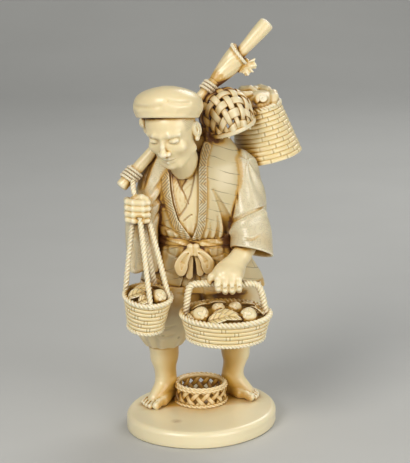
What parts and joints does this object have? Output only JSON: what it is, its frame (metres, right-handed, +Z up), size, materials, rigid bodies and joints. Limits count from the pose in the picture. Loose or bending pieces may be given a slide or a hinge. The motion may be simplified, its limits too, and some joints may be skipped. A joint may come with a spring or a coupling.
{
  "type": "okimono carving",
  "caption": "Carved standing figure of a stooping pedlar with a shoulder pole and woven baskets, on a flat oval base.",
  "frame": {"origin": "centre of the base's flat underside", "axes": "+Z up, -Y the way the figure faces (towards the viewer of the picture), +X the viewer's right"},
  "size_m": [0.0784, 0.0677, 0.1737],
  "materials": {
    "ivory": "polished",
    "ivory_stained": "polished"
  },
  "bodies": {
    "root": {"base_plate": "ivory", "right_leg": "ivory", "left_leg": "ivory", "right_leg_peg": "ivory", "left_leg_peg": "ivory", "breeches": "ivory", "hip_peg": "ivory", "jacket": "ivory", "under_robe": "ivory", "right_lapel": "ivory", "left_lapel": "ivory", "sash": "ivory", "sash_bow": "ivory", "head": "ivory", "headcloth": "ivory", "cloth_knot": "ivory", "left_sleeve": "ivory", "left_hand": "ivory", "right_sleeve": "ivory", "right_hand": "ivory", "pole": "ivory", "pole_wrap": "ivory", "wrap_knot": "ivory", "front_lashing": "ivory", "rear_lashing": "ivory", "front_tail": "ivory", "front_rope": "ivory", "side_rope": "ivory", "outer_rope": "ivory", "back_rope": "ivory", "hung_basket": "ivory", "hung_leaves": "ivory", "hung_fruit": "ivory", "oval_basket": "ivory", "oval_handle": "ivory", "oval_leaves": "ivory", "oval_fruit_1": "ivory", "oval_fruit_2": "ivory", "oval_fruit_3": "ivory", "oval_fruit_4": "ivory", "floor_basket": "ivory_stained", "dome_basket": "ivory_stained", "creel": "ivory", "creel_catch": "ivory", "creel_shell": "ivory"}
  },
  "joints": []
}
